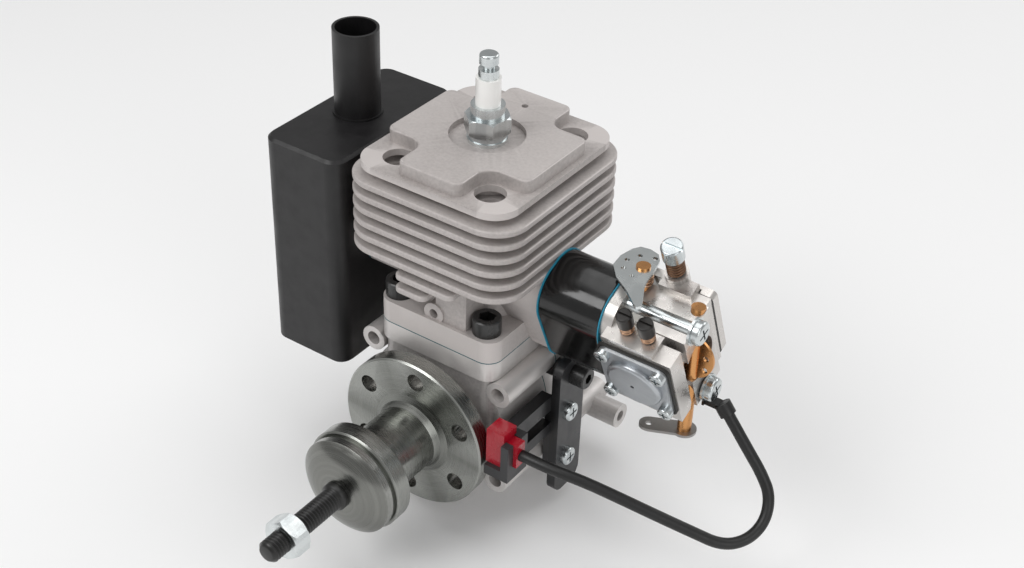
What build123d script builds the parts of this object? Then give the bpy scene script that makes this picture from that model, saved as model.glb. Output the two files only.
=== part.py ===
"""Single-cylinder spark-ignition two-stroke engine for model aircraft.

Built about the cylinder axis (X to the carburettor, -Y to the propeller, Z up the cylinder)
with the crank axis along Y, then moved so that the origin is the centre of the four mounting
bolts in the plane of the rear mounting faces. Millimetres.
"""
import os
from math import cos, radians, sin, tan

from build123d import *

# ---------------------------------------------------------------- driving dimensions
BORE_R = 17.0                   # cylinder bore radius
STROKE = 28.0
ROD_LENGTH = 51.0               # crank pin to wrist pin
DECK_Z = 33.2                   # crankcase deck above the crank axis
GASKET = 0.4
MOUNT_Y = 38.0                  # rear mounting plane behind the cylinder axis
MOUNT_Z = 2.0                   # centre of the four mounting bolts above the crank axis
CASE_FRONT_Y = -28.0            # front faces of the mounting lugs
BARREL_R = 28.5                 # crankcase outside radius
CAVITY_R = 22.0                 # crank web space
ROD_SLOT_R = 23.6               # big end space between the webs
WEB_R = 20.5
WEB_Y = (5.5, 12.5)             # one crank web, front one mirrored

FOOT = (24.3, 29.8, 5.8)        # cylinder foot: half width, half depth, corner radius
FOOT_X = 0.9                    # its middle, towards the intake
FOOT_TOP_Z = 41.5
BOLT_X = 18.2                   # base bolts
BOLT_Y = 23.35
BASE_BOLTS = tuple((x, y) for x in (-BOLT_X, BOLT_X) for y in (-BOLT_Y, BOLT_Y))
BOLT_HOLE_R = 5.25              # access holes through the fins
FIN = (33.4, 36.6, 12.3)        # fin half width, half depth, corner radius
FIN_PITCH = 5.0
FIN_THICK = 2.3
TOP_FIN_Z = 92.5                # underside of the top plate
TOP_PLATE = (30.2, 34.3, 9.7)
PLATEAU_Z = 99.7
PLATEAU = (28.2, 32.2)          # raised cross on the head: half width and half depth
PLATEAU_ARM = (12.3, 17.3)      # half widths of its arms along Y and along X
SHORT_FINS = {7: (-10.8, 12.9), 8: (-10.8, 2.0)}    # x range of the two lowest fins
CYLINDER_R = 22.0
TRANSFER = (0.5, 12.9, 28.0)    # transfer passage wall: x range and half depth
EXHAUST_Z = 58.0
EXHAUST_FACE_X = -34.3
INTAKE_FACE_X = 33.4
PLUG_R = 5.0                    # M10 spark plug thread

LUG_R = 4.7                     # mounting lugs and their through holes
LUG_HOLE_R = 2.6
LUGS = ((-26.6, 21.0), (26.6, 21.0), (-26.6, -17.0), (26.6, -17.0))   # x, z
SIDE_BOSS = (41.5, 31.0, -19.2)                                       # end face x, y, z

HUB_R = 29.0
HUB_FRONT_Y = -40.7
HUB_THICK = 6.3
HUB_NECK_R = 12.0
HUB_PCD_R = 22.4
HUB_HOLE_R = 3.3
NECK_END_Y = -65.0
WASHER_R = 18.8
CONE_R = 17.8
CONE_TIP_Y = -80.5
STUD_R = 4.0
STUD_TIP_Y = -114.5
NUT_Y = (-107.6, -101.1)
SHAFT_R = 6.0

MUFFLER_AT = (-51.3, -2.2)
MUFFLER_HALF = (16.2, 32.5, 5.4)
MUFFLER_Z = (7.9, 90.6)
MUFFLER_WALL = 1.2
MUFFLER_BOLTS = ((-15.2, EXHAUST_Z), (15.2, EXHAUST_Z))     # y, z
STACK_AT = (-53.2, -1.7)
STACK_R = 8.0
STACK_TOP_Z = 122.0

CARB_Z = 47.0                   # carburettor bore axis height
CARB_TILT = 23.5                # body turned about its bore, cover side down
CARB_X = (57.2, 85.5)           # mounting face and air inlet face
CARB_SCREW_Z = 16.5             # mounting screws either side of the bore
THROTTLE_X = 62.0
THROTTLE_BORE_R = 6.5
CHOKE_X = 83.0
CHOKE_BORE_R = 8.1
CARB_SHAFT_R = 2.4
RUN_CLEAR = 0.06                # radial clearance of a turning shaft

BRACKET_X = (34.6, 38.0)        # sensor bracket plate
BRACKET_BOLT = (2.2, 17.2)      # y, z of the bolt that holds it to the crankcase
CABLE_R = 2.0


# ---------------------------------------------------------------- helpers
def rod(start, direction, radius, length):
    """A cylinder from a point along a direction."""
    axis = Plane(origin=start, z_dir=direction)
    return axis * Cylinder(radius, length, align=(Align.CENTER, Align.CENTER, Align.MIN))


def tube(start, direction, outer, inner, length):
    return rod(start, direction, outer, length) - rod(start, direction, inner, length)


def rod_y(x, z, y0, y1, radius):
    return rod((x, y0, z), (0, 1, 0), radius, y1 - y0)


def rod_x(y, z, x0, x1, radius):
    return rod((x0, y, z), (1, 0, 0), radius, x1 - x0)


def rod_z(x, y, z0, z1, radius):
    return rod((x, y, z0), (0, 0, 1), radius, z1 - z0)


def block(x0, x1, y0, y1, z0, z1):
    return Pos((x0 + x1) / 2, (y0 + y1) / 2, (z0 + z1) / 2) * Box(x1 - x0, y1 - y0, z1 - z0)


def slab(half, z0, z1):
    """A rounded rectangle standing on Z."""
    return Pos(0, 0, z0) * extrude(RectangleRounded(2 * half[0], 2 * half[1], half[2]), z1 - z0)


def foot(z0, z1, set_back=0.0):
    """The outline that the cylinder foot, its gasket and the crankcase deck share."""
    return Pos(FOOT_X, 0, 0) * slab((FOOT[0], FOOT[1] - set_back, FOOT[2]), z0, z1)


def slab_x(half_y, half_z, corner, x0, x1):
    """A rounded rectangle lying along X."""
    face = Plane.YZ * RectangleRounded(2 * half_y, 2 * half_z, corner)
    return Pos(x0, 0, 0) * extrude(face, x1 - x0, dir=(1, 0, 0))


def slab_at(z, half_y, half_z, corner, x0, x1):
    """The same, centred at a height."""
    return Pos(0, 0, z) * slab_x(half_y, half_z, corner, x0, x1)


def revolved_y(points):
    """Turn (radius, y) points about the Y axis."""
    return revolve(make_face(Polyline(*points, close=True)), Axis.Y)


def hex_head(start, direction, across_flats, length):
    axis = Plane(origin=start, z_dir=direction)
    return axis * extrude(RegularPolygon(across_flats / 2, 6, major_radius=False), length)


def socket_screw(start, direction, thread_r, length, head_r, head_h, key):
    """Socket cap screw: start is under the head, direction points into the work."""
    into = Vector(*direction).normalized()
    head_top = Vector(*start) - into * head_h
    head = rod(head_top, into, head_r, head_h)
    head = chamfer(end_edge(head, head_top), 0.4)
    return head + rod(start, into, thread_r, length) - hex_head(head_top, into, key, head_h * 0.55)


def pan_screw(start, direction, thread_r, length, head_r, head_h, washer_r=0.0):
    """Cross-slotted pan head screw, with its captive washer when washer_r is given."""
    into = Vector(*direction).normalized()
    lift = 0.8 if washer_r else 0.0
    head_top = Vector(*start) - into * (lift + head_h)
    body = rod(head_top, into, head_r, head_h)
    body = fillet(end_edge(body, head_top), head_h * 0.35)
    if washer_r:
        body += rod(Vector(*start) - into * lift, into, washer_r, lift)
    slot_frame = Plane(origin=head_top, z_dir=into)
    for turn in (0, 90):
        body -= slot_frame * Rot(0, 0, turn) * Box(head_r * 1.2, 0.7, head_h * 0.9)
    return body + rod(start, into, thread_r, length)


def end_edge(shape, point):
    """The circular edge nearest a point on a turned part's axis."""
    return min(shape.edges().filter_by(GeomType.CIRCLE), key=lambda e: (e.arc_center - Vector(*point)).length)


def carb(shape):
    """Place a shape from the tilted carburettor body's own frame."""
    return Pos(0, 0, CARB_Z) * Rot(CARB_TILT, 0, 0) * shape


def save(node, *shapes):
    placed = [Pos(0, -MOUNT_Y, -MOUNT_Z) * shape for shape in shapes]
    solids = [solid for shape in placed for solid in shape.solids()]
    whole = solids[0] if len(solids) == 1 else Compound(label=node, children=solids)
    export_step(whole, f"parts/{node}.step")


# ---------------------------------------------------------------- crankcase
BEARING = (6.0, 14.0, 8.0)      # bore radius, outside radius, width
FRONT_BEARING_Y = -21.4
REAR_BEARING_Y = 13.4
CASE_SCREWS = ((-21.6, 14.0), (21.6, 14.0), (-15.4, -20.6), (15.4, -20.6))   # x, z
CASE_SCREW_R = 2.0
CASE_END_Y = 26.0               # rear face that carries the cover
COVER_R = 20.6
COVER_THICK = 2.4
COVER_SPIGOT_R = 16.9
COVER_SCREW_R = 1.5
COVER_SCREWS = tuple((18.75 * cos(radians(a)), 18.75 * sin(radians(a))) for a in (45, 135, 225, 315))


def crankcase_blank():
    """The closed crankcase with its four mounting lugs, still solid inside."""
    case = rod_y(0, 0, -CASE_END_Y, CASE_END_Y, BARREL_R)
    case += foot(-5, DECK_Z - GASKET, 1.8)
    case += foot(25.5, DECK_Z - GASKET)
    case += rod_y(0, 0, -33.0, -CASE_END_Y, 17.5)
    for x, z in LUGS:
        side = 1 if x > 0 else -1
        case += rod_y(x, z, CASE_FRONT_Y, MOUNT_Y, LUG_R)
        case += block(min(x, x - side * 9), max(x, x - side * 9), -24, 24, z - 3.2, z + 3.2)
    for x, z in CASE_SCREWS:
        case += rod_y(x, z, -16, 16, 4.6)
    boss_x, boss_y, boss_z = SIDE_BOSS
    for side in (-1, 1):
        case += rod((side * 24, boss_y, boss_z), (side, 0, 0), LUG_R, boss_x - 24)
        case += block(min(side * 14, side * 29), max(side * 14, side * 29), 22, 35, -21.5, -13.5)
        case += block(min(side * 18, side * 26), max(side * 18, side * 26), 22, 35, 17.5, 24.5)
    case += tube((0, 22, 0), (0, 1, 0), 26.5, 21.0, 10)
    return case


def crankcase_cuts():
    """Everything bored out of the crankcase."""
    cuts = rod_y(0, 0, -13.2, 13.2, CAVITY_R)
    cuts += rod_y(0, 0, -5.4, 5.4, ROD_SLOT_R)
    cuts += block(-22.9, 22.9, -5.4, 5.4, 0, 25.4)
    cuts += rod_z(0, 0, 0, DECK_Z + 1, 18.6)
    for side in (-1, 1):
        cuts += rod_y(0, 0, *sorted((side * 12, side * 21.4)), BEARING[1] + 0.01)
    cuts += rod_y(0, 0, -34, -21, 11.0)
    cuts += rod_y(0, 0, 21, CASE_END_Y + 1, COVER_SPIGOT_R + 0.1)
    cuts += rod_y(0, 0, CASE_END_Y, MOUNT_Y, COVER_R + 0.3)
    for x, z in LUGS:
        cuts += rod_y(x, z, CASE_FRONT_Y - 1, MOUNT_Y + 1, LUG_HOLE_R)
    for x, z in CASE_SCREWS:
        cuts += rod_y(x, z, -14, 30, CASE_SCREW_R + 0.02)
        cuts += rod_y(x, z, 16, 40, 3.9)
    for x, y in BASE_BOLTS:
        cuts += rod_z(x, y, 19, DECK_Z + 1, 3.02)
    boss_x, boss_y, boss_z = SIDE_BOSS
    for side in (-1, 1):
        cuts += rod((side * (boss_x - 10), boss_y, boss_z), (side, 0, 0), 2.1, 12)
    for x, z in COVER_SCREWS:
        cuts += rod_y(x, z, CASE_END_Y - 8, CASE_END_Y + 1, COVER_SCREW_R + 0.02)
    cuts += rod_x(BRACKET_BOLT[0], BRACKET_BOLT[1], 22.5, 40, 2.02)
    return cuts


def crankcase():
    whole = crankcase_blank() - crankcase_cuts()
    front = whole & block(-60, 60, -60, -GASKET / 2, -60, 60)
    rear = whole & block(-60, 60, GASKET / 2, 60, -60, 60)
    gasket = whole & block(-60, 60, -GASKET / 2, GASKET / 2, -60, 60)
    save("crankcase_front", front)
    save("crankcase_rear", rear)
    save("crankcase_gasket", gasket)
    cover_face = CASE_END_Y + COVER_THICK
    cover = rod_y(0, 0, CASE_END_Y, cover_face, COVER_R)
    cover = chamfer(end_edge(cover, (0, cover_face, 0)), 0.5)
    cover += rod_y(0, 0, 21.6, CASE_END_Y, COVER_SPIGOT_R)
    cover -= rod_y(0, 0, 21, CASE_END_Y - 1.4, 12.5)
    for x, z in COVER_SCREWS:
        cover -= rod_y(x, z, CASE_END_Y - 1, cover_face + 1, COVER_SCREW_R + 0.1)
    save("rear_cover", cover)
    screws = [socket_screw((x, 16, z), (0, -1, 0), CASE_SCREW_R, 29, 3.5, 4.0, 3.0) for x, z in CASE_SCREWS]
    for x, z in COVER_SCREWS:
        screws.append(pan_screw((x, cover_face, z), (0, -1, 0), COVER_SCREW_R, 9.0, 2.0, 1.9))
    save("crankcase_screws", *screws)


# ---------------------------------------------------------------- crank train
def crank_train():
    front_y, rear_y = FRONT_BEARING_Y, REAR_BEARING_Y
    rings_out, rings_in, balls = [], [], []
    inner_r, outer_r, width = BEARING
    for y in (front_y, rear_y):
        race = Pos(0, y + width / 2, 0) * Rot(90, 0, 0) * Torus(10.0, 2.0)
        rings_out.append(tube((0, y, 0), (0, 1, 0), outer_r, 11.3, width) - race)
        rings_in.append(tube((0, y, 0), (0, 1, 0), 8.7, inner_r, width) - race)
        for k in range(8):
            a = radians(45 * k + 11)
            balls.append(Pos(10.0 * cos(a), y + width / 2, 10.0 * sin(a)) * Sphere(1.94))
    save("bearing_outer_rings", *rings_out)
    save("bearing_inner_rings", *rings_in)
    save("bearing_balls", *balls)
    save("front_seal", tube((0, -29.5, 0), (0, 1, 0), 11.0, SHAFT_R + 0.06, 5.0))

    web_in, web_out = WEB_Y
    front = rod_y(0, 0, -web_out, -web_in, WEB_R)
    front += rod_y(0, 0, -64, -web_out, SHAFT_R - 0.005)
    front += rod_y(0, 0, -13.3, -web_out, 8.0)
    front -= rod((0, -65, 0), (0, 1, 0), STUD_R, 22)
    rear = rod_y(0, 0, web_in, web_out, WEB_R)
    rear += rod_y(0, 0, web_out, 21.4, SHAFT_R - 0.005)
    rear += rod_y(0, 0, web_out, 13.3, 8.0)
    save("crankshaft_front", front)
    save("crankshaft_rear", rear)


def piston_group():
    crank_z = STROKE / 2
    pin_z = crank_z + ROD_LENGTH
    crown_z = pin_z + 17.0
    skirt_z = crown_z - 28.0
    piston = rod_z(0, 0, skirt_z, crown_z, BORE_R - 0.06)
    piston -= rod_z(0, 0, skirt_z - 1, crown_z - 4, BORE_R - 3.2)
    piston += rod_y(0, pin_z, -15, -6, 7.0) + rod_y(0, pin_z, 6, 15, 7.0)
    piston -= rod_y(0, pin_z, -20, 20, 4.5)
    for z in (crown_z - 3.2, crown_z - 6.4):
        ring_groove = tube((0, 0, z - 1.3), (0, 0, 1), BORE_R + 1, BORE_R - 1.6, 1.3)
        piston -= ring_groove
    save("piston", piston)
    rings = []
    for z in (crown_z - 3.2, crown_z - 6.4):
        ring = tube((0, 0, z - 1.25), (0, 0, 1), BORE_R - 0.02, BORE_R - 1.5, 1.2)
        rings.append(ring - block(0, BORE_R + 1, -0.3, 0.3, z - 2, z + 1))
    save("piston_rings", *rings)
    save("wrist_pin", tube((0, -14.2, pin_z), (0, 1, 0), 4.49, 2.6, 28.4))
    clips = []
    for side in (-1, 1):
        clip = tube((0, side * 14.9 - 0.4, pin_z), (0, 1, 0), 4.49, 3.4, 0.8)
        clips.append(clip - block(0, 6, side * 14.9 - 1, side * 14.9 + 1, pin_z - 1, pin_z + 1))
    save("wrist_pin_clips", *clips)

    shank = block(-3.4, 3.4, -2.6, 2.6, crank_z, pin_z)
    shank -= block(-1.6, 1.6, 1.0, 3, crank_z + 11, pin_z - 9)
    shank -= block(-1.6, 1.6, -3, -1.0, crank_z + 11, pin_z - 9)
    conrod = shank + rod_y(0, crank_z, -4, 4, 8.4) + rod_y(0, pin_z, -4.5, 4.5, 6.6)
    conrod -= rod_y(0, crank_z, -5, 5, 6.6) + rod_y(0, pin_z, -6, 6, 5.7)
    save("conrod", conrod)
    save("conrod_bearings",
         tube((0, -3.8, crank_z), (0, 1, 0), 6.6, 4.9, 7.6),
         tube((0, -4.4, pin_z), (0, 1, 0), 5.7, 4.55, 8.8))
    save("crank_pin", rod_y(0, crank_z, -5.2, 5.2, 4.9))


def hub_group():
    back_y = HUB_FRONT_Y + HUB_THICK
    profile = [
        (SHAFT_R, back_y), (HUB_R - 0.5, back_y), (HUB_R, back_y - 0.5), (HUB_R, HUB_FRONT_Y + 0.6),
        (HUB_R - 0.6, HUB_FRONT_Y), (HUB_NECK_R + 3.4, HUB_FRONT_Y), (HUB_NECK_R + 1.2, HUB_FRONT_Y - 1.0),
        (HUB_NECK_R, HUB_FRONT_Y - 3.2), (HUB_NECK_R, NECK_END_Y), (SHAFT_R, NECK_END_Y)]
    hub = revolved_y(profile)
    for k in range(6):
        a = radians(26 + 60 * k)
        hub -= rod_y(HUB_PCD_R * cos(a), HUB_PCD_R * sin(a), HUB_FRONT_Y - 1, back_y + 1, HUB_HOLE_R)
    magnet_dir = Vector(cos(radians(-124)), 0, sin(radians(-124)))
    magnet_start = magnet_dir * (HUB_R - 4.3) + Vector(0, (HUB_FRONT_Y + back_y) / 2, 0)
    magnet = rod(magnet_start, magnet_dir, 2.0, 4.0)
    hub -= rod(magnet_start, magnet_dir, 2.0, 6.0)
    hub += tube((0, -32.6, 0), (0, -1, 0), 10.0, SHAFT_R, 2.0)
    save("prop_hub", hub)
    save("hub_magnet", magnet)

    groove_r = WASHER_R - 1.6
    save("thrust_washer", revolved_y([
        (STUD_R + 0.1, NECK_END_Y - 0.02), (WASHER_R - 0.6, NECK_END_Y - 0.02), (WASHER_R, NECK_END_Y - 0.6),
        (WASHER_R, -71.2), (WASHER_R - 0.6, -71.8), (groove_r, -71.8), (groove_r, -73.2),
        (STUD_R + 0.1, -73.2)]))
    rim = (CONE_R, -75.6)
    tip = (5.2, CONE_TIP_Y)
    with BuildPart() as cone:
        with BuildSketch(Plane.XY):
            with BuildLine():
                Polyline((STUD_R + 0.1, CONE_TIP_Y), (STUD_R + 0.1, -73.25), (CONE_R, -73.25), rim)
                ThreePointArc(rim, (12.6, -79.0), tip)
                Line(tip, (STUD_R + 0.1, CONE_TIP_Y))
            make_face()
        revolve(axis=Axis.Y)
    save("clamp_cone", cone.part)
    stud = revolved_y([
        (0, -43.2), (STUD_R, -43.2), (STUD_R, CONE_TIP_Y - 0.02), (4.9, CONE_TIP_Y - 0.02), (4.9, -82.6),
        (STUD_R, -83.0), (STUD_R, STUD_TIP_Y + 0.9), (STUD_R - 0.9, STUD_TIP_Y), (0, STUD_TIP_Y)])
    save("prop_stud", stud)
    corner_dir = (cos(radians(35)), 0, sin(radians(35)))
    nut_face = Plane(origin=(0, NUT_Y[0], 0), z_dir=(0, 1, 0), x_dir=corner_dir)
    nut = nut_face * extrude(RegularPolygon(6.5, 6, major_radius=False), NUT_Y[1] - NUT_Y[0])
    cap = revolved_y([(0, NUT_Y[0]), (6.6, NUT_Y[0]), (7.6, NUT_Y[0] + 0.9), (7.6, NUT_Y[1] - 0.9),
                      (6.6, NUT_Y[1]), (0, NUT_Y[1])])
    save("prop_nut", (nut & cap) - rod_y(0, 0, NUT_Y[0] - 1, NUT_Y[1] + 1, STUD_R + 0.01))


# ---------------------------------------------------------------- cylinder
def fin(index):
    """One cooling fin; the two lowest are narrow tongues before and behind the barrel."""
    z = TOP_FIN_Z - FIN_PITCH * index
    if index in SHORT_FINS:
        x0, x1 = SHORT_FINS[index]
        outline = RectangleRounded(x1 - x0, 2 * FIN[1], 2.6)
        plate = Pos((x0 + x1) / 2, 0, z) * extrude(outline, FIN_THICK)
    else:
        plate = slab(FIN, z, z + FIN_THICK)
    return fillet(plate.edges().filter_by(Plane.XY), FIN_THICK * 0.32)


def plateau():
    """The raised cross of the head, with a rounded corner cut out above each base bolt."""
    along_y, along_x = PLATEAU_ARM
    cross = Rectangle(2 * PLATEAU[0], 2 * along_x) + Rectangle(2 * along_y, 2 * PLATEAU[1])
    inner = [v for v in cross.vertices() if abs(v.X) < along_y + 0.1 and abs(v.Y) < along_x + 0.1]
    cross = fillet(inner, 5.5)
    outer = [v for v in cross.vertices() if abs(v.X) > PLATEAU[0] - 0.1 or abs(v.Y) > PLATEAU[1] - 0.1]
    cross = fillet(outer, 3.0)
    raised = Pos(0, 0, TOP_FIN_Z + 1) * extrude(cross, PLATEAU_Z - TOP_FIN_Z - 1)
    return fillet(raised.edges().filter_by(Plane.XY).group_by(Axis.Z)[-1], 0.6)


def cylinder():
    body = foot(DECK_Z, FOOT_TOP_Z)
    body += rod_z(0, 0, DECK_Z, TOP_FIN_Z + 1, CYLINDER_R)
    for index in range(1, 9):
        body += fin(index)
    body += slab(TOP_PLATE, TOP_FIN_Z, TOP_FIN_Z + 2.4)
    body += plateau()
    x0, x1, depth = TRANSFER
    body += block(x0, x1, -depth, depth, FOOT_TOP_Z, TOP_FIN_Z - 6 * FIN_PITCH + 1)
    body += slab_at(EXHAUST_Z, 19.5, 12.5, 3.0, EXHAUST_FACE_X, -17)
    intake_boss = carb(slab_x(13.0, 20.5, 12.0, 17, INTAKE_FACE_X))
    body += intake_boss - block(0, FOOT_X + FOOT[0] + 0.5, -40, 40, 0, DECK_Z)
    body += rod_y(0, 43.6, -FOOT[1] + 1.2, -18, 3.9)
    for x, y in BASE_BOLTS:
        body -= rod_z(x, y, FOOT_TOP_Z, PLATEAU_Z + 2, BOLT_HOLE_R)
        body -= rod_z(x, y, DECK_Z - 1, FOOT_TOP_Z + 1, 3.3)
    chamber = rod_z(0, 0, 10, 84.5, BORE_R)
    chamber += Pos(0, 0, 84.5) * Cone(BORE_R - 2.5, 8.0, 6.0, align=(Align.CENTER, Align.CENTER, Align.MIN))
    body += tube((0, 0, 25.6), (0, 0, 1), 18.4, BORE_R, 9)
    body -= chamber
    body -= rod_z(0, 0, 60, PLATEAU_Z + 1, PLUG_R + 0.01)
    body -= rod_z(0, 0, PLATEAU_Z - 2.0, PLATEAU_Z + 1, 12.8)
    body -= rod_z(-0.8, 22.7, PLATEAU_Z - 4, PLATEAU_Z + 1, 1.2)
    body -= slab_at(EXHAUST_Z, 9.0, 6.0, 3.0, EXHAUST_FACE_X - 1, -14)
    body -= rod_x(0, CARB_Z, 14, INTAKE_FACE_X + 1, THROTTLE_BORE_R + 0.4)
    for y, z in MUFFLER_BOLTS:
        body -= rod_x(y, z, EXHAUST_FACE_X - 1, -23, 2.02)
    body -= carb(rod_x(0, CARB_SCREW_Z, 20, 60, 2.52))
    body -= carb(rod_x(0, -CARB_SCREW_Z, 20, 60, 2.52))
    body -= rod_y(0, 43.6, -40, -20, 1.7)
    save("cylinder", body)
    gasket = foot(DECK_Z - GASKET, DECK_Z) - rod_z(0, 0, 30, 40, 18.6)
    for x, y in BASE_BOLTS:
        gasket -= rod_z(x, y, 30, 40, 3.1)
    save("base_gasket", gasket)
    save("base_bolts", *[
        socket_screw((x, y, FOOT_TOP_Z), (0, 0, -1), 3.0, 21, 4.95, 6.0, 5.0) for x, y in BASE_BOLTS])


def spark_plug():
    seat = PLATEAU_Z - 2.0
    hexagon = Pos(0, 0, seat + 3.2) * Rot(0, 0, 18) * extrude(RegularPolygon(7.0, 6, major_radius=False), 6.0)
    profile = Polyline((0, seat), (7.2, seat + 3.2), (8.2, seat + 4.0), (8.2, seat + 8.2), (7.2, seat + 9.2),
                       (0, seat + 9.2), close=True)
    trim = revolve(Plane.XZ * make_face(profile), Axis.Z)
    shell = (hexagon & trim) + rod_z(0, 0, seat + 1.2, seat + 3.2, 6.4)
    shell += rod_z(0, 0, seat + 9.2, seat + 13.0, 5.7)
    shell += rod_z(0, 0, 85.2, seat + 1.2, PLUG_R)
    shell -= rod_z(0, 0, 84, seat + 20, 4.15)
    save("plug_shell", shell)
    save("plug_gasket", tube((0, 0, seat), (0, 0, 1), 6.8, PLUG_R + 0.02, 1.2))
    nose = rod_z(0, 0, 87.0, seat + 13, 4.13)
    nose += rod_z(0, 0, seat + 13.0, seat + 22.5, 4.2)
    nose -= rod_z(0, 0, 80, seat + 30, 1.2)
    save("plug_insulator", nose)
    top = seat + 22.5
    terminal = rod_z(0, 0, 85.5, top, 1.19)
    terminal += rod_z(0, 0, top, top + 3.0, 3.4)
    terminal += rod_z(0, 0, top + 3.0, top + 5.0, 1.9)
    terminal += rod_z(0, 0, top + 5.0, top + 8.4, 3.2)
    terminal = fillet(end_edge(terminal, (0, 0, top + 8.4)), 0.9)
    save("plug_terminal", terminal)


# ---------------------------------------------------------------- muffler
def muffler():
    x, y = MUFFLER_AT
    z0, z1 = MUFFLER_Z
    height = z1 - z0
    outer = extrude(RectangleRounded(2 * MUFFLER_HALF[0], 2 * MUFFLER_HALF[1], MUFFLER_HALF[2]), height)
    outer = chamfer(outer.edges().filter_by(Plane.XY), 1.0)
    wall = MUFFLER_WALL
    inner = extrude(RectangleRounded(2 * (MUFFLER_HALF[0] - wall), 2 * (MUFFLER_HALF[1] - wall),
                                     MUFFLER_HALF[2] - wall), height - 2 * wall)
    shell = Pos(x, y, z0) * (outer - Pos(0, 0, wall) * inner)
    left, right = x - MUFFLER_HALF[0], x + MUFFLER_HALF[0]
    for bolt_y, bolt_z in MUFFLER_BOLTS:
        shell += rod_x(bolt_y, bolt_z, left + 0.2, right - 0.2, 3.6)
        shell -= rod_x(bolt_y, bolt_z, left - 1, right + 1, 2.3)
    shell -= slab_at(EXHAUST_Z, 9.0, 6.0, 3.0, right - 3, right + 2)
    stack_x, stack_y = STACK_AT
    shell -= rod_z(stack_x, stack_y, z1 - 5, z1 + 5, STACK_R + 0.01)
    save("muffler_shell", shell)
    stack = tube((stack_x, stack_y, z1 - 26), (0, 0, 1), STACK_R, STACK_R - 1.0, STACK_TOP_Z - z1 + 26)
    stack += tube((stack_x, stack_y, z1), (0, 0, 1), STACK_R + 0.7, STACK_R - 1.0, 0.7)
    save("muffler_stack", stack)
    gasket = slab_at(EXHAUST_Z, 19.5, 12.5, 3.0, right, EXHAUST_FACE_X)
    gasket -= slab_at(EXHAUST_Z, 9.0, 6.0, 3.0, right - 1, EXHAUST_FACE_X + 1)
    for bolt_y, bolt_z in MUFFLER_BOLTS:
        gasket -= rod_x(bolt_y, bolt_z, right - 2, EXHAUST_FACE_X + 2, 2.1)
    save("muffler_gasket", gasket)
    save("muffler_bolts", *[
        socket_screw((left, by, bz), (1, 0, 0), 2.0, 43, 3.5, 4.0, 3.0) for by, bz in MUFFLER_BOLTS])


# ---------------------------------------------------------------- carburettor
def intake():
    x0, x1 = INTAKE_FACE_X + GASKET, CARB_X[0] - GASKET
    block_shape = slab_x(13.6, 21.0, 12.0, x0, x1)
    block_shape = fillet(block_shape.edges().filter_by(Plane.YZ), 0.6)
    gaskets = [slab_x(13.9, 21.3, 12.2, INTAKE_FACE_X, x0), slab_x(13.9, 21.3, 12.2, x1, CARB_X[0])]
    bores = carb(rod_x(0, 0, 20, 70, THROTTLE_BORE_R + 0.4))
    for z in (-CARB_SCREW_Z, CARB_SCREW_Z):
        bores += carb(rod_x(0, z, 20, 70, 2.6))
    save("intake_insulator", carb(block_shape) - bores)
    save("insulator_gaskets", *[carb(g) - bores for g in gaskets])


COVER_X = (61.0, 81.5)          # metering cover screws
COVER_Z = (-10.4, 10.4)
FRONT_FACE = -14.6              # body side that carries the metering cover
BACK_FACE = 12.6                # body side that carries the pump cover
IDLE_AT = (71.5, 15.6)          # idle screw: x, local y
NEEDLES = ((66.5, -9.0), (74.2, -9.0))


def carb_body():
    x0, x1 = CARB_X
    core = slab_x(12.4, 20.6, 10.0, x0, x0 + 4.0)
    core += block(x0 + 3, x1, -6.0, 9.5, -20.4, 17.0)
    core += rod_x(0, 0, x0, x1 - 1.5, 12.4)
    core += block(x0 + 2.6, x1 - 0.4, FRONT_FACE, -8.0, -18.0, 15.0)
    core += block(x0 + 2.6, x1 - 7, FRONT_FACE, -5.5, 10.0, 16.6)
    core += block(x0 + 4.4, x1 - 1.0, 8.0, BACK_FACE, -17.0, 17.0)
    core += rod_z(IDLE_AT[0], IDLE_AT[1] - 1.0, 8.0, 21.6, 4.0)
    core += block(IDLE_AT[0] - 4, IDLE_AT[0] + 8, 9.0, IDLE_AT[1] - 1, 8.0, 19.5)
    body = carb(core) - rod_z(THROTTLE_X, 0, 66.4, 90, 5.5)
    body -= rod_x(0, CARB_Z, x0 - 1, x0 + 14, THROTTLE_BORE_R)
    body -= Pos(x0 + 13, 0, CARB_Z) * Rot(0, 90, 0) * Cone(
        THROTTLE_BORE_R, CHOKE_BORE_R, 5.0, align=(Align.CENTER, Align.CENTER, Align.MIN))
    body -= rod_x(0, CARB_Z, x0 + 17.9, x1 + 1, CHOKE_BORE_R)
    for z in (-CARB_SCREW_Z, CARB_SCREW_Z):
        body -= carb(rod_x(0, z, x0 - 1, x1 + 1, 2.6))
    body -= rod_z(THROTTLE_X, 0, 30, 90, CARB_SHAFT_R + RUN_CLEAR)
    body -= rod_z(CHOKE_X, 0, 10, 90, CARB_SHAFT_R + RUN_CLEAR)
    body -= carb(rod_z(IDLE_AT[0], IDLE_AT[1] - 1.0, 9, 40, 1.5 + RUN_CLEAR))
    for x, y in NEEDLES:
        body -= carb(rod_z(x, y, 6, 30, 1.3 + RUN_CLEAR))
    for x, z in cover_corners():
        body -= carb(rod_y(x, z, FRONT_FACE - 1, FRONT_FACE + 6.5, 1.26))
    body -= carb(rod_y(72.0, 0, BACK_FACE - 3.0, BACK_FACE + 1, 1.26))
    body -= carb(rod_y(71.5, 0, FRONT_FACE - 1, FRONT_FACE + 2, 7.5))
    body -= carb(rod_y(66.0, -12.0, BACK_FACE - 3, BACK_FACE + 4, 1.8))
    save("carb_body", body)


def cover_corners():
    return [(x, z) for x in COVER_X for z in COVER_Z]


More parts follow.
